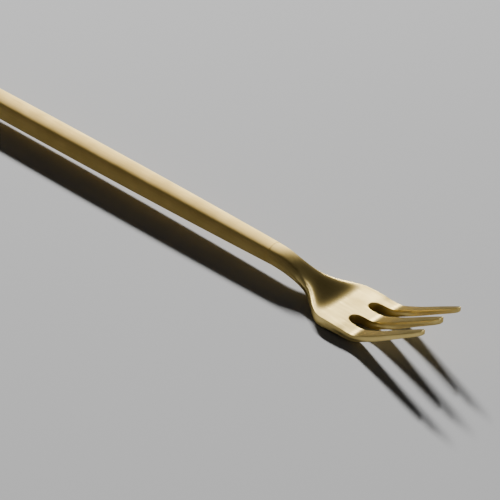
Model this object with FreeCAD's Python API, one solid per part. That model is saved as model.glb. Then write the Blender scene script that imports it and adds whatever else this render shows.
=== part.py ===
"""Trident bar spoon: a fork head, a turned handle, a twisted stem and a bowl, brazed end to end.

Millimetres.  The pieces are shaped on one straight axis: +X runs along the spoon towards the
fork, +Y is across it and +Z is up, the way the bowl and the fork face.  At the end the spoon is
laid down on the plane z = 0, where it rests on the heel of the fork and on the bottom of the bowl.
"""
import FreeCAD, Part
import math
import os

from FreeCAD import Matrix, Placement, Rotation, Vector

# ---- driving dimensions ----
TOTAL_LENGTH = 400.0
FORK_LENGTH = 56.5        # from the handle's end to the tips of the tines
HANDLE_LENGTH = 158.0
BOWL_END_LENGTH = 54.0    # neck and bowl together
BRAZE_WIDTH = 0.8         # band of filler left between the two faces of a joint
CAPILLARY_GAP = 0.03      # radial room round a spigot in its socket

HANDLE_END_R = 3.05       # at the fork
HANDLE_GRIP_R = 3.90      # at its thickest
HANDLE_GRIP_FROM_FORK = 109.0
HANDLE_STEM_R = 2.60      # at the stem
HANDLE_FULLNESS = 2.4     # 2 makes the fork side of the grip an arc; more keeps it full for longer

STEM_SQUARE = 3.8         # wire across the flats
STEM_CORNER_R = 0.55
STEM_TWIST_PITCH = 16.0   # length of one full turn

FORK_SPIGOT_R = 1.8
FORK_SPIGOT_LENGTH = 10.0
STEM_SPIGOT_R = 1.5
STEM_SPIGOT_LENGTH = 6.0
SOCKET_END_ROOM = 0.5     # between a spigot's end and the bottom of its socket

SLOT_ROOT_R = 1.75
SLOT_ROOT_FROM_TIPS = 24.75
TINE_EDGE_R = 0.25
HEEL_LAND_DEPTH = 0.12    # metal dressed off the heel to leave a flat land
HEEL_FROM_SEAM = 23.0

BOWL_FRONT = 17.0         # from the bowl's deepest point to its tip
BOWL_BACK = 23.0          # from the bowl's deepest point to its back
BOWL_HALF_WIDTH = 13.3
BOWL_DEPTH = 7.4          # outside, below the rim
BOWL_WALL = 1.0
BOWL_RIM_HEIGHT = 2.4     # of the rim above the axis, over the deepest point
BOWL_RIM_RISE = 4.0       # degrees, up towards the tip

SECTION_POINTS = 28

# ---- places along the axis ----
TIP_X = TOTAL_LENGTH / 2
FORK_SEAM_X = TIP_X - FORK_LENGTH
STEM_SEAM_X = FORK_SEAM_X - HANDLE_LENGTH
BOWL_SEAM_X = -TOTAL_LENGTH / 2 + BOWL_END_LENGTH
BOWL_CENTRE_X = -TOTAL_LENGTH / 2 + BOWL_FRONT
HALF_BRAZE = BRAZE_WIDTH / 2

# The fork from its seam to its tips: distance from the seam, height of the middle of its top
# face over the axis, half width, vertical thickness, and how square its section is (2 is round).
FORK_STATIONS = (
    (HALF_BRAZE, 3.05, 3.05, 6.10, 2.0),
    (4.0, 2.84, 3.02, 6.06, 2.0),
    (8.0, 2.02, 2.92, 5.90, 2.0),
    (12.0, 0.90, 3.25, 5.60, 2.1),
    (16.0, -0.35, 4.40, 5.00, 2.3),
    (20.0, -1.72, 6.90, 4.40, 2.7),
    (23.0, -2.38, 8.75, 4.00, 3.2),
    (26.0, -2.45, 9.15, 3.50, 3.8),
    (29.5, -2.45, 9.20, 3.05, 4.2),
    (33.0, -2.78, 9.15, 2.75, 4.4),
    (36.0, -2.60, 9.10, 2.50, 4.6),
    (39.0, -1.54, 9.05, 2.38, 4.8),
    (43.0, 0.42, 8.80, 2.25, 5.0),
    (50.0, 4.25, 8.27, 1.95, 5.0),
    (FORK_LENGTH, 7.80, 7.50, 1.70, 5.0),
)
FORK_CROWN = 0.25         # how far the top face falls from its middle to the outer tines
FORK_CROWN_AT = 6.3       # half width at which it has fallen that far

# The bowl's neck from its seam back towards the bowl: the same five measures, about the axis.
NECK_STATIONS = (
    (HALF_BRAZE, 2.60, 2.60, 5.20, 2.0),
    (4.0, 2.55, 2.56, 5.12, 2.0),
    (8.0, 2.40, 2.52, 4.75, 2.0),
    (11.5, 1.95, 2.85, 3.80, 2.2),
    (14.5, 1.35, 4.10, 2.90, 2.4),
    (18.0, 0.80, 5.60, 2.10, 2.6),
)


def signed_power(value, power):
    return math.copysign(abs(value) ** power, value)


def crown_drop(y):
    """How far the fork's top face lies under its middle at a distance y to one side."""
    return FORK_CROWN * (y / FORK_CROWN_AT) ** 2


def cross_section(x, top, half_width, thickness, squareness, crowned):
    """A closed smooth curve across the axis, from a circle to a rounded bar, begun at its underside."""
    points = []
    for k in range(SECTION_POINTS):
        angle = 2 * math.pi * k / SECTION_POINTS - math.pi / 2
        y = half_width * signed_power(math.cos(angle), 2 / squareness)
        z = thickness / 2 * signed_power(math.sin(angle), 2 / squareness)
        upper_share = z / thickness + 0.5
        flatness = min(1.0, max(0.0, squareness - 2.0))
        drop = crown_drop(y) * upper_share * flatness if crowned else 0.0
        points.append(Vector(x, y, top - thickness / 2 + z - drop))
    curve = Part.BSplineCurve()
    curve.interpolate(Points=points, PeriodicFlag=True)
    return Part.Wire([curve.toShape()])


def lofted_bar(stations, seam_x, direction, crowned):
    sections = []
    for distance, top, half_width, thickness, squareness in stations:
        x = seam_x + direction * distance
        sections.append(cross_section(x, top, half_width, thickness, squareness, crowned))
    return Part.makeLoft(sections, True, False, False)


def rod(radius, x_from, x_to):
    start = min(x_from, x_to)
    return Part.makeCylinder(radius, abs(x_to - x_from), Vector(start, 0, 0), Vector(1, 0, 0))


def socket(radius, seam_x, depth):
    """The space that a drill leaves, from a joint's face at seam_x; a negative depth goes to -X."""
    overshoot = -math.copysign(1.0, depth)
    return rod(radius + CAPILLARY_GAP, seam_x + overshoot, seam_x + depth)


def smooth_edge(points):
    curve = Part.BSplineCurve()
    curve.interpolate([Vector(*p) for p in points])
    return curve.toShape()


def slot_between_tines(side):
    """The space between the middle tine and the outer one on one side: a long U, cut straight down."""
    root_x = TIP_X - SLOT_ROOT_FROM_TIPS
    root_y = 3.6
    below, height = -20.0, 40.0
    past_tips = TIP_X + 1.0
    outer = [(root_x, root_y + SLOT_ROOT_R), (root_x + 4.5, 5.72), (root_x + 10.5, 6.00), (past_tips, 5.72)]
    inner = [(root_x, root_y - SLOT_ROOT_R), (root_x + 4.5, 1.90), (root_x + 11.5, 1.54), (past_tips, 1.00)]
    lift = [[(x, side * y, below) for x, y in line] for line in (outer, inner)]
    start, end = Vector(*lift[0][0]), Vector(*lift[1][0])
    middle = Vector(root_x - SLOT_ROOT_R, side * root_y, below)
    edges = [
        Part.Arc(start, middle, end).toShape(),
        smooth_edge(lift[0]),
        smooth_edge(lift[1]),
        Part.LineSegment(Vector(*lift[0][-1]), Vector(*lift[1][-1])).toShape(),
    ]
    outline = Part.Wire(Part.__sortEdges__(edges))
    return Part.Face(outline).extrude(Vector(0, 0, height))


def make_trident_fork():
    head = lofted_bar(FORK_STATIONS, FORK_SEAM_X, 1, True)
    for side in (-1, 1):
        head = head.cut(slot_between_tines(side))

    def beside_slot(edge):
        box = edge.BoundBox
        between = abs(box.Center.y) < 6.5 and box.XMax < TIP_X + 0.01
        return between and box.XMin > TIP_X - FORK_LENGTH / 2 and box.XLength > 1.0

    head = head.makeFillet(TINE_EDGE_R, [edge for edge in head.Edges if beside_slot(edge)])
    face_x = FORK_SEAM_X + HALF_BRAZE
    return head.fuse(rod(FORK_SPIGOT_R, face_x, FORK_SEAM_X - FORK_SPIGOT_LENGTH)).removeSplitter()


def make_handle():
    """A turned bar, thickest at the grip, drilled at both ends."""
    fork_face = FORK_SEAM_X - HALF_BRAZE
    stem_face = STEM_SEAM_X + HALF_BRAZE
    grip_x = FORK_SEAM_X - HANDLE_GRIP_FROM_FORK
    outline = []
    steps = 10
    for k in range(steps + 1):
        share = k / steps
        x = stem_face + (grip_x - stem_face) * share
        swell = 0.5 - 0.5 * math.cos(math.pi * share)
        outline.append((x, 0, HANDLE_STEM_R + (HANDLE_GRIP_R - HANDLE_STEM_R) * swell))
    for k in range(1, steps + 1):
        share = k / steps
        x = grip_x + (fork_face - grip_x) * share
        outline.append((x, 0, HANDLE_GRIP_R - (HANDLE_GRIP_R - HANDLE_END_R) * share ** HANDLE_FULLNESS))
    side = smooth_edge(outline)
    ends = [Vector(stem_face, 0, HANDLE_STEM_R), Vector(stem_face, 0, 0)]
    ends += [Vector(fork_face, 0, 0), Vector(fork_face, 0, HANDLE_END_R)]
    lines = [Part.LineSegment(a, b).toShape() for a, b in zip(ends, ends[1:])]
    profile = Part.Face(Part.Wire(Part.__sortEdges__([side] + lines)))
    body = profile.revolve(Vector(0, 0, 0), Vector(1, 0, 0), 360)
    body = body.cut(socket(FORK_SPIGOT_R, fork_face, -(FORK_SPIGOT_LENGTH - HALF_BRAZE + SOCKET_END_ROOM)))
    return body.cut(socket(STEM_SPIGOT_R, stem_face, STEM_SPIGOT_LENGTH + SOCKET_END_ROOM))


def rounded_square(x, size, corner_r):
    half = size / 2
    centre = half - corner_r
    edges = []
    for quarter in range(4):
        turn = Rotation(Vector(1, 0, 0), 90 * quarter)
        slant = corner_r * math.sqrt(0.5)
        spots = [(half, -centre), (half, centre), (centre + slant, centre + slant), (centre, half)]
        a, b, c, d = (turn.multVec(Vector(0, y, z)) + Vector(x, 0, 0) for y, z in spots)
        edges.append(Part.LineSegment(a, b).toShape())
        edges.append(Part.Arc(b, c, d).toShape())
    return Part.Wire(edges)


def make_twisted_stem():
    """Square wire, twisted, with a spigot turned on each end."""
    start = BOWL_SEAM_X + HALF_BRAZE
    end = STEM_SEAM_X - HALF_BRAZE
    spine = Part.Wire([Part.LineSegment(Vector(start, 0, 0), Vector(end, 0, 0)).toShape()])
    helix = Part.makeLongHelix(STEM_TWIST_PITCH, end - start, STEM_SQUARE)
    helix.rotate(Vector(0, 0, 0), Vector(0, 1, 0), 90)
    helix.translate(Vector(start, 0, 0))
    sweep = Part.BRepOffsetAPI.MakePipeShell(spine)
    sweep.setAuxiliarySpine(Part.Wire(helix.Edges), False, 0)
    sweep.add(rounded_square(start, STEM_SQUARE, STEM_CORNER_R), False, False)
    sweep.build()
    sweep.makeSolid()
    stem = sweep.shape()
    stem = stem.fuse(rod(STEM_SPIGOT_R, start, start - HALF_BRAZE - STEM_SPIGOT_LENGTH))
    return stem.fuse(rod(STEM_SPIGOT_R, end, end + HALF_BRAZE + STEM_SPIGOT_LENGTH)).removeSplitter()


def egg(front, back, half_width, depth):
    """Two half ellipsoids on one middle section, the front one towards -X."""
    halves = []
    for length, start in ((front, -2.0), (back, 0.0)):
        ball = Part.makeSphere(1.0)
        keep = Part.makeBox(2.0, 4.0, 4.0, Vector(start, -2.0, -2.0))
        scale = Matrix()
        scale.scale(length, half_width, depth)
        halves.append(ball.common(keep).transformGeometry(scale))
    return halves[0].fuse(halves[1])


def make_bowl():
    """A dish with a neck; the neck is drilled for the stem's spigot."""
    outer = egg(BOWL_FRONT, BOWL_BACK, BOWL_HALF_WIDTH, BOWL_DEPTH)
    wall = BOWL_WALL
    inner = egg(BOWL_FRONT - wall, BOWL_BACK - wall, BOWL_HALF_WIDTH - wall, BOWL_DEPTH - wall)
    above = Part.makeBox(80, 60, 30, Vector(-40, -30, 0))
    place = Placement(Vector(BOWL_CENTRE_X, 0, BOWL_RIM_HEIGHT), Rotation(Vector(0, 1, 0), BOWL_RIM_RISE))
    for shape in (outer, inner, above):
        shape.Placement = place
    outer = outer.cut(above)
    neck = lofted_bar(NECK_STATIONS, BOWL_SEAM_X, -1, False)
    dish = outer.fuse(neck).cut(inner)
    neck_face = BOWL_SEAM_X - HALF_BRAZE
    depth = STEM_SPIGOT_LENGTH - HALF_BRAZE + SOCKET_END_ROOM
    dish = dish.cut(socket(STEM_SPIGOT_R, neck_face, -depth))
    return dish.removeSplitter()


def make_braze_ring(seam_x, outside_r, spigot_r):
    """The band of filler round a spigot, dressed flush with the pieces on both sides."""
    band = rod(outside_r, seam_x - HALF_BRAZE, seam_x + HALF_BRAZE)
    return band.cut(rod(spigot_r, seam_x - 2, seam_x + 2))


def lay_down(pieces):
    """Turn and lift every piece so that the heel and the bowl rest on z = 0, and dress the heel."""
    bowl_drop = -pieces["bowl"].optimalBoundingBox().ZMin
    heel_drop = -pieces["trident_fork"].optimalBoundingBox().ZMin - HEEL_LAND_DEPTH
    heel_x = FORK_SEAM_X + HEEL_FROM_SEAM
    tilt = math.degrees(math.atan((heel_drop - bowl_drop) / (heel_x - BOWL_CENTRE_X)))
    for shape in pieces.values():
        shape.rotate(Vector(0, 0, 0), Vector(0, 1, 0), -tilt)
    lift = -pieces["bowl"].optimalBoundingBox().ZMin
    for shape in pieces.values():
        shape.translate(Vector(0, 0, lift))
    under_floor = Part.makeBox(600, 100, 10, Vector(-300, -50, -10))
    pieces["trident_fork"] = pieces["trident_fork"].cut(under_floor)
    print("tilt %.4f degrees, lift %.3f" % (tilt, lift))


def main():
    os.makedirs("parts", exist_ok=True)
    pieces = {
        "trident_fork": make_trident_fork(),
        "handle": make_handle(),
        "twisted_stem": make_twisted_stem(),
        "bowl": make_bowl(),
        "fork_braze_ring": make_braze_ring(FORK_SEAM_X, HANDLE_END_R, FORK_SPIGOT_R),
        "stem_braze_ring": make_braze_ring(STEM_SEAM_X, HANDLE_STEM_R, STEM_SPIGOT_R),
        "bowl_braze_ring": make_braze_ring(BOWL_SEAM_X, HANDLE_STEM_R, STEM_SPIGOT_R),
    }
    lay_down(pieces)
    for name, shape in pieces.items():
        shape.exportStep("parts/%s.step" % name)
        box = shape.optimalBoundingBox()
        print("%-16s solids %d valid %s volume %8.1f  x %.2f..%.2f  y %.2f..%.2f  z %.2f..%.2f" % (
            name, len(shape.Solids), shape.isValid(), shape.Volume,
            box.XMin, box.XMax, box.YMin, box.YMax, box.ZMin, box.ZMax))


main()
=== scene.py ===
# %% [markdown]
# # A trident bar spoon in satin gold
#
# This lesson builds the looks of a long bar spoon: a fork head with three tines, a round
# handle, a twisted stem and a small bowl, joined end to end.  The engineering model comes first
# and is loaded as a fixed frame.  Each of its pieces is then made again as a smoother mesh that
# stands in the same place, and every mesh gets a metal finish built from nodes.

# %% Load the frame
import math

import bmesh
import bpy
from mathutils import Matrix, Vector


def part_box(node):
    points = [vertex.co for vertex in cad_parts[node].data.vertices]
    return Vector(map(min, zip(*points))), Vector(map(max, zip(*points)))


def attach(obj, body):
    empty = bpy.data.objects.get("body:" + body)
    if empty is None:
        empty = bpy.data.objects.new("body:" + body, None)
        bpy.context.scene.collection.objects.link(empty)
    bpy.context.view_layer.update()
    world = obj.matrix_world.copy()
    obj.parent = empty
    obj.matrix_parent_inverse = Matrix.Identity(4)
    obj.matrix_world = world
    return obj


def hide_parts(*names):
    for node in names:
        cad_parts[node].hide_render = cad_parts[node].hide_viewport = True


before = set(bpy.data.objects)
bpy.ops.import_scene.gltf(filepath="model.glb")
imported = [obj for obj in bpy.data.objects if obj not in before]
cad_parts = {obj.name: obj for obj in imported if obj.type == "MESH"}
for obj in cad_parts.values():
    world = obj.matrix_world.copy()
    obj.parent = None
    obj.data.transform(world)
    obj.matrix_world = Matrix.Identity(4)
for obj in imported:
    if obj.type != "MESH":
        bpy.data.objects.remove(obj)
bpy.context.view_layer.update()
MM = 0.001
print("nodes:", sorted(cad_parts))

# %% [markdown]
# ## The spoon's own axis
#
# The spoon lies on its heel and on its bowl, so its axis is very slightly tilted.  Shapes are far
# easier to describe on a level axis.  The two braze bands at the ends are short rings on that
# axis, so the middles of their boxes are two points of it, and a matrix carries a finished mesh
# from the level axis to its place.  On the level axis +X runs towards the fork, and the millimetres
# are counted from the fork's joint.

# %% Find the axis
def middle_of(node):
    low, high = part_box(node)
    return (Vector(low) + Vector(high)) / 2


fork_joint = middle_of("fork_braze_ring")
stem_joint = middle_of("stem_braze_ring")
bowl_joint = middle_of("bowl_braze_ring")
along = (fork_joint - bowl_joint).normalized()
across = Vector((0.0, 1.0, 0.0))
upward = along.cross(across)
PLACE = Matrix((along, across, upward)).transposed().to_4x4()
PLACE.translation = fork_joint
STEM_JOINT = -(fork_joint - stem_joint).length / MM
BOWL_JOINT = -(fork_joint - bowl_joint).length / MM
TILT = math.degrees(math.asin(along.z))
print("axis tilt %.3f degrees, joints at %.2f and %.2f mm" % (TILT, STEM_JOINT, BOWL_JOINT))

# %% [markdown]
# ## Small tools
#
# Every mesh is made in millimetres in a bmesh, and one function turns it into an object: it
# scales and places the mesh, puts its normals right and shades it smooth.

# %% Mesh tools
BAND_HALF = 0.4           # half the width of a braze band
SQUARE_CORNER = 1.0       # radians between two faces: more than a polished edge ever has
WELD = 0.0005             # points nearer to each other than this become one
NEAR = 0.01               # near enough to the joint's face to lie on it


def keep_sharp(bm, wanted=lambda edge: True):
    """Hold square corners crisp: a full crease for the subdivision and a break in the shading."""
    crease = bm.edges.layers.float.new("crease_edge")
    for edge in bm.edges:
        if edge.calc_face_angle(0) > SQUARE_CORNER and wanted(edge):
            edge[crease] = 1.0
            edge.smooth = False


def rest_on_floor(bm):
    """Flatten whatever of a placed mesh would reach below the floor."""
    for vert in bm.verts:
        vert.co.z = max(vert.co.z, 0.0)


def smooth_over(piece, levels):
    """Subdivide a piece's cage into its smooth surface, and keep the result as its mesh."""
    smooth = piece.modifiers.new("smooth", "SUBSURF")
    smooth.levels = levels
    smooth.render_levels = levels
    evaluated = piece.evaluated_get(bpy.context.evaluated_depsgraph_get())
    piece.data = bpy.data.meshes.new_from_object(evaluated)
    piece.modifiers.remove(smooth)


def finish_mesh(bm, name, levels=0):
    """Place a bmesh made in millimetres on the level axis, and return its object."""
    bmesh.ops.remove_doubles(bm, verts=bm.verts, dist=WELD)
    bmesh.ops.recalc_face_normals(bm, faces=bm.faces)
    bmesh.ops.scale(bm, vec=(MM, MM, MM), verts=bm.verts)
    bmesh.ops.transform(bm, matrix=PLACE, verts=bm.verts)
    rest_on_floor(bm)
    for face in bm.faces:
        face.smooth = True
    mesh = bpy.data.meshes.new(name)
    bm.to_mesh(mesh)
    bm.free()
    piece = bpy.data.objects.new(name, mesh)
    bpy.context.scene.collection.objects.link(piece)
    if levels:
        smooth_over(piece, levels)
    print("%-18s %6d faces, %6d once smoothed" % (name, len(mesh.polygons), len(piece.data.polygons)))
    return piece


def mix(a, b, share):
    return a + (b - a) * share


def smoothstep(low, high, value):
    share = min(1.0, max(0.0, (value - low) / (high - low)))
    return share * share * (3 - 2 * share)


def read_curve(table, column, x):
    """A smooth curve through a table's rows, by cubic pieces that match slope at each row."""
    last = len(table) - 1
    k = 0
    while k < last - 1 and x > table[k + 1][0]:
        k += 1
    x0, x1 = table[k][0], table[k + 1][0]
    y0, y1 = table[k][column], table[k + 1][column]

    def slope(i):
        before, after = max(i - 1, 0), min(i + 1, last)
        return (table[after][column] - table[before][column]) / (table[after][0] - table[before][0])

    span = x1 - x0
    t = min(1.0, max(0.0, (x - x0) / span))
    m0, m1 = slope(k) * span, slope(k + 1) * span
    return (y0 * (2 * t**3 - 3 * t**2 + 1) + m0 * (t**3 - 2 * t**2 + t)
            + y1 * (3 * t**2 - 2 * t**3) + m1 * (t**3 - t**2))


# %% [markdown]
# ## The fork head
#
# A real fork head is forged from bar: the shank stays round, the heel is flattened, and two slots
# leave three tines, which are bent up afterwards.  The mesh follows the same order.  It starts as
# a flat grid with ten strips across, the strips of the two slots are deleted, and the sheet gets a
# thickness.  Then each point is moved to its place on the forged shape, with a formula that turns
# the sheet's section from a circle at the shank to a flat bar at the tines.  Bevelled edges
# and a subdivision surface give the soft corners of a polished forging.

# %% The fork's measures
FORK_LENGTH = 56.5
# distance from the joint, height of the top face, half width, thickness, squareness (2 is round)
FORK_SECTIONS = (
    (BAND_HALF, 3.05, 3.05, 6.10, 2.0),
    (4.0, 2.84, 3.02, 6.06, 2.0),
    (8.0, 2.02, 2.92, 5.90, 2.0),
    (12.0, 0.90, 3.25, 5.60, 2.0),
    (16.0, -0.35, 4.40, 5.00, 2.1),
    (20.0, -1.72, 6.90, 4.40, 2.4),
    (23.0, -2.38, 8.75, 4.00, 3.0),
    (26.0, -2.45, 9.15, 3.50, 4.0),
    (29.5, -2.47, 9.20, 3.05, 5.0),
    (33.0, -2.78, 9.15, 2.75, 5.0),
    (35.4, -2.80, 9.12, 2.55, 5.0),
    (37.2, -2.32, 9.09, 2.45, 5.0),
    (39.0, -1.50, 9.05, 2.38, 5.0),
    (43.0, 0.42, 8.80, 2.25, 5.0),
    (50.0, 4.25, 8.27, 1.95, 5.0),
    (FORK_LENGTH, 7.80, 7.50, 1.70, 5.0),
)
SLOT_START = 32.1         # the slots' walls begin here, and their round roots lie before it
# distance from the joint, edge of the middle tine, inner edge of an outer tine
SLOT_EDGES = (
    (SLOT_START, 1.85, 5.35),
    (36.25, 1.80, 5.70),
    (42.5, 1.55, 6.00),
    (FORK_LENGTH, 1.02, 5.72),
)
SLOT_ROOT_R = 1.75
SLOT_ROOT_SIDE = SLOT_ROOT_R * math.sqrt(0.5)
SLOT_ROOT_DEPTH = SLOT_ROOT_R * 1.06   # on the middle line of the slot
SLOT_MIDDLE = 3.6         # from the middle of the fork to the middle of a slot's root
WALL_START = 0.1          # from the start of a slot to the first row of its walls
CROWN = 0.25              # how far the top has fallen at CROWN_AT from the middle of the fork
CROWN_AT = 6.3
FORK_EDGE_R = 0.22        # how far back the edges are bevelled
DISH = 0.35               # how far the middle of the flat is pressed in
TIP_NARROWING = 0.35      # how far each corner of a tine's tip is drawn in

# stretches in which the section changes, each from one distance from the joint to another
SPREADING = (9.0, 24.0)   # the lines of the round shank move over to the edges of the tines
FLATTENING = (12.0, 26.0)  # the round section gives way to a level top and underside
DISH_SINKS = (19.0, 25.0)
DISH_RISES = (29.0, 34.0)


def rows_from(first, apart, count):
    return [first + apart * k for k in range(count)]


ROW_SPOTS = [BAND_HALF] + rows_from(2.2, 2.0, 14)
ROOT_ROW = len(ROW_SPOTS)
ROW_SPOTS += [SLOT_START - SLOT_ROOT_SIDE, SLOT_START + WALL_START]
ROW_SPOTS += rows_from(33.4, 1.3, 7) + rows_from(43.2, 2.0, 7) + [FORK_LENGTH]
print("rows along the fork:", len(ROW_SPOTS), "slots start at row", ROOT_ROW)

# %% Where a point of the sheet goes
STRIPS = 10
SLOT_LINES = (1, 2, 3)    # the lines at a slot: one edge, its middle, the other edge
SLOT_MIDDLE_LINE = 2
TINE_EDGES = (1, 3, 5)    # the lines on the edges of the tines
ROUND_EDGE_SHARE = math.sin(STRIPS / 2 * math.pi / (STRIPS + 1))


def strip_shares(s):
    """Half of the sheet's eleven lines, from the middle line out, as shares of the half width."""
    half_width = read_curve(FORK_SECTIONS, 2, max(s, SLOT_START))
    inner = read_curve(SLOT_EDGES, 1, max(s, SLOT_START)) / half_width
    outer = read_curve(SLOT_EDGES, 2, max(s, SLOT_START)) / half_width
    return (0.0, inner, (inner + outer) / 2, outer, (outer + 1) / 2, 1.0)


def fork_point(row, strip, side):
    """The place of one point: its row, its line from -5 to 5, and the top (1) or underside (-1)."""
    s = ROW_SPOTS[row]
    line = abs(strip)
    sign = 1 if strip >= 0 else -1
    if row == ROOT_ROW and line == SLOT_MIDDLE_LINE:
        s = SLOT_START - SLOT_ROOT_DEPTH
    top, half_width, thickness, squareness = (read_curve(FORK_SECTIONS, k, s) for k in (1, 2, 3, 4))
    round_share = math.sin(line * math.pi / (STRIPS + 1))
    share = mix(round_share, strip_shares(s)[line], smoothstep(*SPREADING, s))
    y = share * half_width
    if row == ROOT_ROW and line in SLOT_LINES:
        y = SLOT_MIDDLE + (line - SLOT_MIDDLE_LINE) * SLOT_ROOT_SIDE
    if row == len(ROW_SPOTS) - 1 and line in TINE_EDGES:
        y += TIP_NARROWING if line == 3 else -TIP_NARROWING
    rounded = (1 - min(share, ROUND_EDGE_SHARE) ** squareness) ** (1 / squareness)
    height = mix(rounded, 1.0, smoothstep(*FLATTENING, s))
    z = top - thickness / 2 + side * height * thickness / 2
    if side > 0:
        z -= CROWN * smoothstep(*SPREADING, s) * (y / CROWN_AT) ** 2
        z -= DISH * smoothstep(*DISH_SINKS, s) * (1 - smoothstep(*DISH_RISES, s)) * (1 - share**2)
    return Vector((s, sign * y, z))


# %% Forge the head
def forge_fork_head():
    bm = bmesh.new()
    rows = len(ROW_SPOTS) - 1
    bmesh.ops.create_grid(bm, x_segments=rows, y_segments=STRIPS, size=0.5)

    def row_of(point):
        return (point.x + 0.5) * rows

    def strip_of(point):
        return point.y * STRIPS

    def in_slot(face):
        middle = face.calc_center_median()
        between_edges = SLOT_LINES[0] < abs(strip_of(middle)) < SLOT_LINES[-1]
        return row_of(middle) > ROOT_ROW and between_edges

    slots = [face for face in bm.faces if in_slot(face)]
    bmesh.ops.delete(bm, geom=slots, context="FACES")
    bmesh.ops.solidify(bm, geom=bm.faces[:], thickness=1.0)
    heights = [vert.co.z for vert in bm.verts]
    halfway = (min(heights) + max(heights)) / 2

    walls = {face for face in bm.faces if len({vert.co.z > halfway for vert in face.verts}) == 2}
    outline = []
    for edge in bm.edges:
        on_walls = sum(face in walls for face in edge.link_faces)
        at_joint = all(row_of(vert.co) < 0.5 for vert in edge.verts)
        if on_walls == 1 and not at_joint:
            outline.append(edge)
        at_tip = all(row_of(vert.co) > rows - 0.5 for vert in edge.verts)
        upright = abs(edge.verts[0].co.z - edge.verts[1].co.z) > 0.5
        if at_tip and upright and round(abs(strip_of(edge.verts[0].co))) in TINE_EDGES:
            outline.append(edge)

    for vert in bm.verts:
        side = 1 if vert.co.z > halfway else -1
        vert.co = fork_point(round(row_of(vert.co)), round(strip_of(vert.co)), side)
    bmesh.ops.bevel(bm, geom=outline, offset=FORK_EDGE_R, offset_type="OFFSET", segments=2,
                    profile=0.5, affect="EDGES", material=-1, clamp_overlap=True,
                    loop_slide=True)
    keep_sharp(bm, lambda edge: all(vert.co.x < BAND_HALF + NEAR for vert in edge.verts))
    return finish_mesh(bm, "fork_head", levels=3)


fork_head = forge_fork_head()

# %% [markdown]
# ## The handle
#
# The handle is turned on a lathe, so it is a profile spun round the axis.  It is thinner at its two
# joints, thickest about two thirds of the way down from the fork, and its outline has no straight
# stretch.

# %% Turn the handle
HANDLE_FORK_R = 3.05
HANDLE_GRIP_R = 3.90
HANDLE_STEM_R = 2.60
HANDLE_FULLNESS = 2.4
GRIP_SPOT = -109.0
SPIN_STEPS = 72
HANDLE_STEPS = 60


def handle_radius(x):
    if x > GRIP_SPOT:
        share = (x - GRIP_SPOT) / (-BAND_HALF - GRIP_SPOT)
        return mix(HANDLE_GRIP_R, HANDLE_FORK_R, share**HANDLE_FULLNESS)
    share = (x - (STEM_JOINT + BAND_HALF)) / (GRIP_SPOT - STEM_JOINT - BAND_HALF)
    return mix(HANDLE_STEM_R, HANDLE_GRIP_R, 0.5 - 0.5 * math.cos(math.pi * share))


def turn_profile(points, name):
    """Spin a profile of (x, radius) points once round the axis."""
    bm = bmesh.new()
    verts = [bm.verts.new((x, 0.0, radius)) for x, radius in points]
    edges = [bm.edges.new(pair) for pair in zip(verts, verts[1:])]
    bmesh.ops.spin(bm, geom=verts + edges, cent=(0, 0, 0), axis=(1, 0, 0), dvec=(0, 0, 0),
                   angle=2 * math.pi, steps=SPIN_STEPS, use_merge=True)
    bmesh.ops.remove_doubles(bm, verts=bm.verts, dist=WELD)
    keep_sharp(bm)
    return finish_mesh(bm, name)


def handle_profile():
    start, end = STEM_JOINT + BAND_HALF, -BAND_HALF
    spots = [mix(start, end, k / HANDLE_STEPS) for k in range(HANDLE_STEPS + 1)]
    outline = [(x, handle_radius(x)) for x in spots]
    return [(start, 0.0)] + outline + [(end, 0.0)]


turned_handle = turn_profile(handle_profile(), "turned_handle")

# %% [markdown]
# ## The twisted stem
#
# Square wire held at one end and turned at the other takes an even twist.  A square with rounded
# corners is spun round the axis while every step also moves it along, which is a screw motion.

# %% Twist the wire
WIRE_SIZE = 3.8
WIRE_CORNER_R = 0.55
TWIST_PITCH = 16.0
STEPS_PER_TURN = 40


def twist_wire():
    start, end = BOWL_JOINT + BAND_HALF, STEM_JOINT - BAND_HALF
    turns = (end - start) / TWIST_PITCH
    steps = round(turns * STEPS_PER_TURN)
    bm = bmesh.new()
    bmesh.ops.create_circle(bm, cap_ends=True, segments=4, radius=WIRE_SIZE * math.sqrt(0.5))
    bmesh.ops.rotate(bm, cent=(0, 0, 0), matrix=Matrix.Rotation(math.pi / 4, 3, "Z"), verts=bm.verts)
    bmesh.ops.bevel(bm, geom=bm.verts[:], offset=WIRE_CORNER_R, offset_type="OFFSET", segments=4,
                    profile=0.5, affect="VERTICES", material=-1, clamp_overlap=True)
    bmesh.ops.rotate(bm, cent=(0, 0, 0), matrix=Matrix.Rotation(math.pi / 2, 3, "Y"), verts=bm.verts)
    bmesh.ops.translate(bm, vec=(start, 0, 0), verts=bm.verts)
    section = bm.verts[:] + bm.edges[:] + bm.faces[:]
    bmesh.ops.spin(bm, geom=section, cent=(0, 0, 0), axis=(1, 0, 0), dvec=((end - start) / steps, 0, 0),
                   angle=2 * math.pi * turns, steps=steps, use_merge=False)
    spots = [vert.co.x for vert in bm.verts]
    keep_sharp(bm)
    print("wire from %.2f to %.2f, wanted %.2f to %.2f" % (min(spots), max(spots), start, end))
    return finish_mesh(bm, "twisted_wire")


twisted_wire = twist_wire()

# %% [markdown]
# ## The bowl
#
# The bowl is pressed from sheet, and its neck is drawn out of the same metal, so both are one
# piece.  A flat square grid laid out as a disc makes a dish without a pole in its middle, so
# highlights run over it cleanly, and solidify gives it a wall.  The neck starts as rings at the
# joint.  A patch of the dish's outer wall at the back is taken out, and bridging joins the rings
# to its border, so the neck flows into the dish as drawn metal does.

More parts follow.
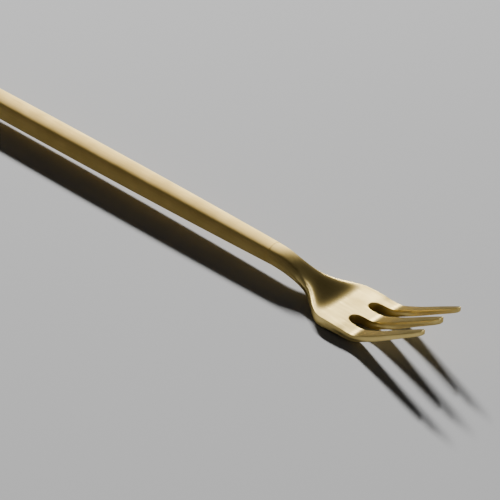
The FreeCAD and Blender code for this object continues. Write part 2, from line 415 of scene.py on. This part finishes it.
# %% The bowl's measures
BOWL_FRONT = 17.0
BOWL_BACK = 23.0
BOWL_HALF_WIDTH = 13.3
BOWL_DEPTH = 7.4
BOWL_WALL = 1.0
RIM_HEIGHT = 2.4
RIM_RISE = math.radians(4.0)
RIM_CREASE = 0.55         # how firmly the rim's two edges hold against the smoothing
SPOON_TIP = -343.5
BOWL_MIDDLE = SPOON_TIP + BOWL_FRONT
GRID = 16                 # faces across the dish
PATCH_HALF = 3            # faces to each side of the middle that the neck takes up
PATCH_DEEP = 2            # faces down from the rim that the neck takes up
# distance from the bowl's joint towards the bowl, height of the top, half width, thickness
NECK_SECTIONS = (
    (BAND_HALF, 2.60, 2.60, 5.20),
    (2.5, 2.58, 2.58, 5.16),
    (5.0, 2.52, 2.54, 5.04),
    (7.5, 2.36, 2.52, 4.66),
    (9.5, 2.10, 2.66, 4.16),
    (11.5, 1.70, 3.05, 3.70),
)


# %% The dish
def dish_point(u, v):
    """A point of the dish for grid coordinates from -1 to 1: a square grid laid out as a disc."""
    x = u * math.sqrt(1 - v * v / 2)
    y = v * math.sqrt(1 - u * u / 2)
    reach = min(1.0, math.hypot(x, y))
    if reach == 0:
        return Vector((0.0, 0.0, -BOWL_DEPTH))
    slant = reach * math.pi / 2
    out = math.sin(slant) / reach
    length = BOWL_BACK if x > 0 else BOWL_FRONT
    return Vector((x * out * length, y * out * BOWL_HALF_WIDTH, -BOWL_DEPTH * math.cos(slant)))


def press_dish():
    """The dish with its wall, on a level rim; faces under the neck are marked in a layer."""
    bm = bmesh.new()
    bmesh.ops.create_grid(bm, x_segments=GRID, y_segments=GRID, size=1.0)
    under_neck = bm.faces.layers.int.new("under_neck")
    for face in bm.faces:
        middle = face.calc_center_median() * GRID / 2
        face[under_neck] = middle.x > GRID / 2 - PATCH_DEEP and abs(middle.y) < PATCH_HALF
    for vert in bm.verts:
        vert.co = dish_point(vert.co.x, vert.co.y)
    bmesh.ops.recalc_face_normals(bm, faces=bm.faces)
    lowest = min(bm.faces, key=lambda face: face.calc_center_median().z)
    if lowest.normal.z > 0:
        bmesh.ops.reverse_faces(bm, faces=bm.faces)
    bmesh.ops.solidify(bm, geom=bm.faces[:], thickness=BOWL_WALL)
    return bm


def soften_rim(bm):
    """Crease the two edges of the rim, which lie level, so that they round over only a little."""
    crease = bm.edges.layers.float.new("crease_edge")
    rim = [edge for edge in bm.edges if edge.calc_face_angle(0) > SQUARE_CORNER]
    for edge in rim:
        edge[crease] = RIM_CREASE
    return len(rim)


bm = press_dish()
print("edges of the rim:", soften_rim(bm))

# %% The neck
def neck_ring(bm, station, count):
    """One ring round the neck, and its edges."""
    distance, top, half_width, thickness = station
    made = bmesh.ops.create_circle(bm, cap_ends=False, segments=count, radius=1.0)["verts"]
    for vert in made:
        across, up = vert.co.x, vert.co.y
        middle = top - thickness / 2
        vert.co = (BOWL_JOINT - distance, across * half_width, middle + up * thickness / 2)
    return list({edge for vert in made for edge in vert.link_edges})


def draw_out_neck(bm):
    """Open the dish's outer wall under the neck and bridge the neck's rings to the opening."""
    under_neck = bm.faces.layers.int["under_neck"]
    crease = bm.edges.layers.float["crease_edge"]
    patch = {face for face in bm.faces if face[under_neck] and face.normal.x > 0 > face.normal.z}
    edges = {edge for face in patch for edge in face.edges}
    border = [edge for edge in edges if sum(face in patch for face in edge.link_faces) == 1]
    print("faces under the neck: %d, with a border of %d edges" % (len(patch), len(border)))
    for edge in border:
        edge[crease] = 0.0
    bmesh.ops.delete(bm, geom=list(patch), context="FACES")
    rings = [neck_ring(bm, station, len(border)) for station in NECK_SECTIONS]
    for ring, following in zip(rings, rings[1:] + [border]):
        bmesh.ops.bridge_loops(bm, edges=ring + following)
    joint_face = bmesh.ops.contextual_create(bm, geom=rings[0])["faces"][0]
    for edge in joint_face.edges:
        edge[crease] = 1.0
        edge.smooth = False
    print("open edges of the bowl:", sum(len(edge.link_faces) != 2 for edge in bm.edges))


bmesh.ops.rotate(bm, cent=(0, 0, 0), matrix=Matrix.Rotation(RIM_RISE, 3, "Y"), verts=bm.verts)
bmesh.ops.translate(bm, vec=(BOWL_MIDDLE, 0, RIM_HEIGHT), verts=bm.verts)
draw_out_neck(bm)
pressed_bowl = finish_mesh(bm, "pressed_bowl", levels=3)

# %% [markdown]
# ## The braze bands
#
# Each joint is a spigot in a socket, with filler run in between.  What shows of it is a band under a
# millimetre wide, dressed flush with the metal on both sides.  Its two faces touch the pieces
# beside it, so it is a short turned disc, with two more rings between its edges to keep its faces
# about as long as they are wide.

# %% Braze bands
BAND_RINGS = (0.0, 0.3, 0.7, 1.0)   # shares of the band's width


def make_band(joint_x, radius, name):
    start, end = joint_x - BAND_HALF, joint_x + BAND_HALF
    rings = [(mix(start, end, share), radius) for share in BAND_RINGS]
    return turn_profile([(start, 0.0)] + rings + [(end, 0.0)], name)


bands = {
    "fork_braze_ring": make_band(0.0, HANDLE_FORK_R, "fork_joint_band"),
    "stem_braze_ring": make_band(STEM_JOINT, HANDLE_STEM_R, "stem_joint_band"),
    "bowl_braze_ring": make_band(BOWL_JOINT, HANDLE_STEM_R, "bowl_joint_band"),
}

# %% [markdown]
# ## Writing shaders as sums
#
# A node finish is mostly arithmetic on patterns.  Instead of placing Math nodes by hand, a small
# class wraps a socket and gives it Python's own operators, so an expression such as
# `grain * 0.1 + 0.5` adds the Math nodes that it needs.  Every other node comes from one method.

# %% A socket that can be reckoned with
class Value:
    """A socket of a node tree; arithmetic on it adds Math nodes."""

    def __init__(self, tree, socket):
        self.tree = tree
        self.socket = socket

    def maths(self, operation, first, second):
        node = self.tree.nodes.new("ShaderNodeMath")
        node.operation = operation
        for socket, term in zip(node.inputs, (first, second)):
            if isinstance(term, Value):
                self.tree.links.new(term.socket, socket)
            else:
                socket.default_value = term
        return Value(self.tree, node.outputs[0])

    def __add__(self, other):
        return self.maths("ADD", self, other)

    def __sub__(self, other):
        return self.maths("SUBTRACT", self, other)

    def __mul__(self, other):
        return self.maths("MULTIPLY", self, other)


# %% A finish in the making
class Finish:
    """A material with its shader, and one method that adds any kind of node to it."""

    def __init__(self, name, **settings):
        self.material = bpy.data.materials.new(name)
        self.material.use_nodes = True
        self.tree = self.material.node_tree
        self.shader = self.tree.nodes["Principled BSDF"]
        for socket, value in settings.items():
            self.shader.inputs[socket].default_value = value

    def node(self, kind, settings=None, inputs=None, output=0):
        """Add a node: first its settings and its ramp's stops, then its sockets' values or links."""
        node = self.tree.nodes.new(kind)
        for name, setting in (settings or {}).items():
            if name == "stops":
                set_stops(node.color_ramp, setting)
            else:
                setattr(node, name, setting)
        for name, value in (inputs or {}).items():
            self.feed(node.inputs[name], value)
        return Value(self.tree, node.outputs[output])

    def feed(self, socket, value):
        if isinstance(value, Value):
            self.tree.links.new(value.socket, socket)
        else:
            socket.default_value = value

    def set(self, name, value):
        """Feed one socket of the shader."""
        self.feed(self.shader.inputs[name], value)


def set_stops(ramp, stops):
    """Give a colour ramp its (position, grey) stops."""
    while len(ramp.elements) < len(stops):
        ramp.elements.new(1.0)
    for element, (position, grey) in zip(ramp.elements, stops):
        element.position = position
        element.color = (grey, grey, grey, 1.0)


# %% [markdown]
# ## Satin gold
#
# The spoon is made as stainless steel with a champagne gold plating over a satin polish.  The last
# wheel is taken to have run along the spoon, so its scratches are long and very fine.  They spread
# a light's reflection much further sideways, round the handle, than lengthwise, which is what an
# anisotropic shader does.  The scratches themselves are noise drawn out along X.  Plating is never
# quite even, so a soft cloud of noise moves the colour and the gloss a little, and a shorter grain
# varies the colour between the scratches and roughens the surface with them.

# %% Brushed lengthwise
SIDEWAYS = 10.0           # metres from the mesh to the middle of its texture space
LIGHT_GOLD = (0.93, 0.72, 0.28, 1)
DEEP_GOLD = (0.74, 0.56, 0.19, 1)
# cells of noise to the metre, along X, Y and Z
SCRATCHES = (110.0, 2600.0, 2600.0)
GRAIN = (500.0, 1500.0, 1500.0)
CLOUDS = (140.0, 220.0, 220.0)
CLOUD_EDGES = ((0.3, 0.0), (0.7, 1.0))   # stops of the ramp that gives the clouds firmer edges
# how far the noises move the roughness, share out the colour, and share out the height
CLOUD_GLOSS, SCRATCH_GLOSS = 0.06, 0.22
CLOUD_TONE, GRAIN_TONE, SCRATCH_TONE = 0.45, 0.25, 0.3
SCRATCH_HEIGHT, GRAIN_HEIGHT = 0.6, 0.4
BUMP_STRENGTH = 0.5
BUMP_DEPTH = 0.00002      # metres
FLANK_FACING = (0.12, 0.6)  # sideways facing at which the finer polish starts and is full
FLANK_GLOSS = 0.62        # share of the roughness that finer polishing leaves on a flank


def brush_along(mesh):
    """Turn the brushing so that it runs along X all over a mesh.

    The anisotropic highlight takes its direction from a circle about the middle of the mesh's
    texture space.  With that middle far off along X, the circle is as good as a straight line.
    """
    mesh.use_auto_texspace = False
    mesh.texspace_location = (-SIDEWAYS, 0.0, 0.0)
    mesh.texspace_size = (1.0, 1.0, 1.0)


def stretched_noise(finish, per_metre, detail):
    """Noise with a different number of cells to the metre along X, Y and Z."""
    place = finish.node("ShaderNodeTexCoord", output="Object")
    scaled = finish.node("ShaderNodeVectorMath", {"operation": "MULTIPLY"}, {0: place, 1: per_metre})
    return finish.node("ShaderNodeTexNoise", {"noise_dimensions": "3D"},
                       {"Vector": scaled, "Scale": 1.0, "Detail": detail})


def satin_metal(name, brushed, glosses, spots):
    """Brushed gold; its roughness goes from one to the other of two values between two spots."""
    finish = Finish(name, Metallic=1.0, Anisotropic=brushed)
    scratches = stretched_noise(finish, SCRATCHES, detail=3.0)
    grain = stretched_noise(finish, GRAIN, detail=2.0)
    clouds = stretched_noise(finish, CLOUDS, detail=3.0)
    uneven = finish.node("ShaderNodeValToRGB", {"stops": CLOUD_EDGES}, {"Fac": clouds})
    place = finish.node("ShaderNodeTexCoord", output="Object")
    along = finish.node("ShaderNodeSeparateXYZ", None, {"Vector": place})
    base = finish.node("ShaderNodeMapRange", {"interpolation_type": "SMOOTHSTEP"},
                       {"Value": along, "From Min": spots[0], "From Max": spots[1],
                        "To Min": glosses[0], "To Max": glosses[1]})
    flank = finish.node("ShaderNodeAttribute", {"attribute_name": "flank"}, output=2)
    polish = finish.node("ShaderNodeMapRange", {"interpolation_type": "SMOOTHSTEP"},
                         {"Value": flank, "From Min": FLANK_FACING[0], "From Max": FLANK_FACING[1],
                          "To Min": 1.0, "To Max": FLANK_GLOSS})
    rough = base + (uneven - 0.5) * CLOUD_GLOSS + (scratches - 0.5) * SCRATCH_GLOSS
    finish.set("Roughness", rough * polish)
    tone = uneven * CLOUD_TONE + grain * GRAIN_TONE + scratches * SCRATCH_TONE
    colour = finish.node("ShaderNodeMix", {"data_type": "RGBA"},
                         {"Factor": tone, 6: LIGHT_GOLD, 7: DEEP_GOLD}, output=2)
    finish.set("Base Color", colour)
    height = scratches * SCRATCH_HEIGHT + grain * GRAIN_HEIGHT
    bump = finish.node("ShaderNodeBump", None,
                       {"Strength": BUMP_STRENGTH, "Distance": BUMP_DEPTH, "Height": height})
    finish.set("Normal", bump)
    return finish.material


FORK_X, BOWL_X = fork_joint.x, bowl_joint.x
# how strongly each is brushed, its roughness at two spots, and the two spots along X in metres
shaft_gold = satin_metal("shaft_gold", 0.80, (0.88, 0.77), (FORK_X - 0.05, FORK_X))
head_gold = satin_metal("head_gold", 1.0, (0.97, 0.52), (FORK_X, FORK_X + 0.012))
wire_gold = satin_metal("wire_gold", 0.60, (0.50, 0.62), (BOWL_X + 0.02, stem_joint.x))
bowl_gold = satin_metal("bowl_gold", 0.80, (0.46, 0.50), (BOWL_X - 0.02, BOWL_X))
braze_gold = satin_metal("braze_gold", 0.60, (0.50, 0.80), (BOWL_X, stem_joint.x))

# %% [markdown]
# ## Polished flanks
#
# The flat of the fork is brushed on a wheel.  Its flanks, the sides of its tines and the walls of
# its slots are narrow for a wheel, and are taken to be polished with finer tools.  A shader can't
# tell a flank from a flat by its place alone, so each point of the mesh stores how far it faces
# sideways, and the finish reads that number back and lowers the roughness there.  The round shank
# is left out, because it is taken to be brushed together with the handle.

# %% Mark the flanks
SHANK_END = (8.0, 15.0)   # where the brushing of the round shank gives way, from the joint


def mark_flanks(mesh):
    """Store how far each point of the fork faces sideways, for its finish to read."""
    flank = mesh.attributes.new("flank", "FLOAT", "POINT")
    for vert, item in zip(mesh.vertices, flank.data):
        from_joint = (vert.co - fork_joint).x / MM
        item.value = abs(vert.normal.y) * smoothstep(*SHANK_END, from_joint)


mark_flanks(fork_head.data)

# %% [markdown]
# ## Handing the pieces over
#
# Every piece rides on the frame's one body and takes the place of the node of the frame that it was
# made after, which is hidden, and each piece gets its finish.

# %% Dress the pieces
shown = {
    "trident_fork": (fork_head, head_gold),
    "handle": (turned_handle, shaft_gold),
    "twisted_stem": (twisted_wire, wire_gold),
    "bowl": (pressed_bowl, bowl_gold),
}
for node, band in bands.items():
    shown[node] = (band, braze_gold)
for node, (piece, finish) in shown.items():
    brush_along(piece.data)
    piece.data.materials.append(finish)
    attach(piece, "root")
    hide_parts(node)
    "braze_filler" if node in bands else "satin_gold_steel"

# %% [markdown]
# ## The floor
#
# The spoon lies on a plain matt floor, wide enough to fill every view.  Metal mirrors what it lies
# on, so some of the floor's grey also shows in the tops of the tines and along the handle.

# %% Floor
FLOOR_HALF = 4.0          # metres from its middle to each edge
FLOOR_GREY = (0.45, 0.45, 0.45, 1)
FLOOR_ROUGHNESS = 0.8

bm = bmesh.new()
bmesh.ops.create_grid(bm, x_segments=1, y_segments=1, size=FLOOR_HALF)
mesh = bpy.data.meshes.new("floor")
bm.to_mesh(mesh)
bm.free()
floor = bpy.data.objects.new("floor", mesh)
bpy.context.scene.collection.objects.link(floor)
paper = bpy.data.materials.new("pale_floor")
paper.use_nodes = True
paper.node_tree.nodes["Principled BSDF"].inputs["Base Color"].default_value = FLOOR_GREY
paper.node_tree.nodes["Principled BSDF"].inputs["Roughness"].default_value = FLOOR_ROUGHNESS
mesh.materials.append(paper)

# %% [markdown]
# ## Two lights
#
# A small lamp high behind the spoon gives its shadow and the shine on the flat of the fork.  Metal
# only shines where it mirrors a light, and a straight handle would mirror one lamp in one short
# stretch.  A long strip of light starts a little way off the lamp and runs down and away from it,
# roughly in line with the spoon, and it draws that shine out along the handle.  The world is
# nearly dark, so that what mirrors neither a light nor the floor stays deep.

# %% Lights
def area_light(name, direction, length, width, power, run=(0.0, 1.0, 0.0)):
    """A rectangle of light that faces the spoon, with its length along a direction."""
    data = bpy.data.lights.new(name, "AREA")
    data.shape = "RECTANGLE"
    data.size = length
    data.size_y = width
    data.energy = power
    lamp = bpy.data.objects.new(name, data)
    bpy.context.scene.collection.objects.link(lamp)
    back = Vector(direction).normalized()
    side = Vector(run)
    side = (side - side.dot(back) * back).normalized()
    turn = Matrix((side, back.cross(side), back)).transposed().to_4x4()
    lamp.matrix_world = Matrix.Translation(LOOK_AT + back * LAMP_DISTANCE) @ turn


LOOK_AT = Vector((0.13, 0.0, 0.005))
LAMP_DISTANCE = 3.0
KEY = Vector((-0.488, 0.604, 0.630))
KEY_SIDE = 0.16           # metres
KEY_POWER = 50            # watts
STRIP_END = Vector((-0.76, 0.48, 0.44))
STRIP_GAP = 0.35          # share of the way from the lamp to the strip's end that stays dark
STRIP_START = KEY * (1 - STRIP_GAP) + STRIP_END * STRIP_GAP
STRIP_MIDDLE = (STRIP_START + STRIP_END) / 2
STRIP_RUN = STRIP_START - STRIP_END
STRIP_WIDTH = 0.2
STRIP_POWER = 145
WORLD_STRENGTH = 0.035
area_light("key", KEY, KEY_SIDE, KEY_SIDE, KEY_POWER)
area_light("strip", STRIP_MIDDLE, STRIP_RUN.length * LAMP_DISTANCE, STRIP_WIDTH, STRIP_POWER, STRIP_RUN)
world = bpy.data.worlds.new("studio")
world.use_nodes = True
world.node_tree.nodes["Background"].inputs["Color"].default_value = (1, 1, 1, 1)
world.node_tree.nodes["Background"].inputs["Strength"].default_value = WORLD_STRENGTH
bpy.context.scene.world = world

# %% [markdown]
# ## The camera
#
# The camera stands beyond the fork, above it and to one side, and looks across the spoon through a
# long lens.  Its three angles make a matrix: the way it looks back, the way to its right, and a
# slight roll.

# %% Camera
VIEW_AZIMUTH = math.radians(44.951)
VIEW_ELEVATION = math.radians(33.949)
VIEW_ROLL = math.radians(-0.21)
CAMERA_PLACE = Vector((456.0, -321.6, 308.9)) * MM
SENSOR_WIDTH = 36.0
LENS = 151.2
back = Vector((math.sin(VIEW_AZIMUTH) * math.cos(VIEW_ELEVATION),
               -math.cos(VIEW_AZIMUTH) * math.cos(VIEW_ELEVATION), math.sin(VIEW_ELEVATION)))
right = Vector((math.cos(VIEW_AZIMUTH), math.sin(VIEW_AZIMUTH), 0))
turn = Matrix((right, back.cross(right), back)).transposed() @ Matrix.Rotation(VIEW_ROLL, 3, "Z")
data = bpy.data.cameras.new("camera")
data.sensor_width = SENSOR_WIDTH
data.lens = LENS
camera = bpy.data.objects.new("camera", data)
bpy.context.scene.collection.objects.link(camera)
camera.matrix_world = Matrix.Translation(CAMERA_PLACE) @ turn.to_4x4()
bpy.context.scene.camera = camera
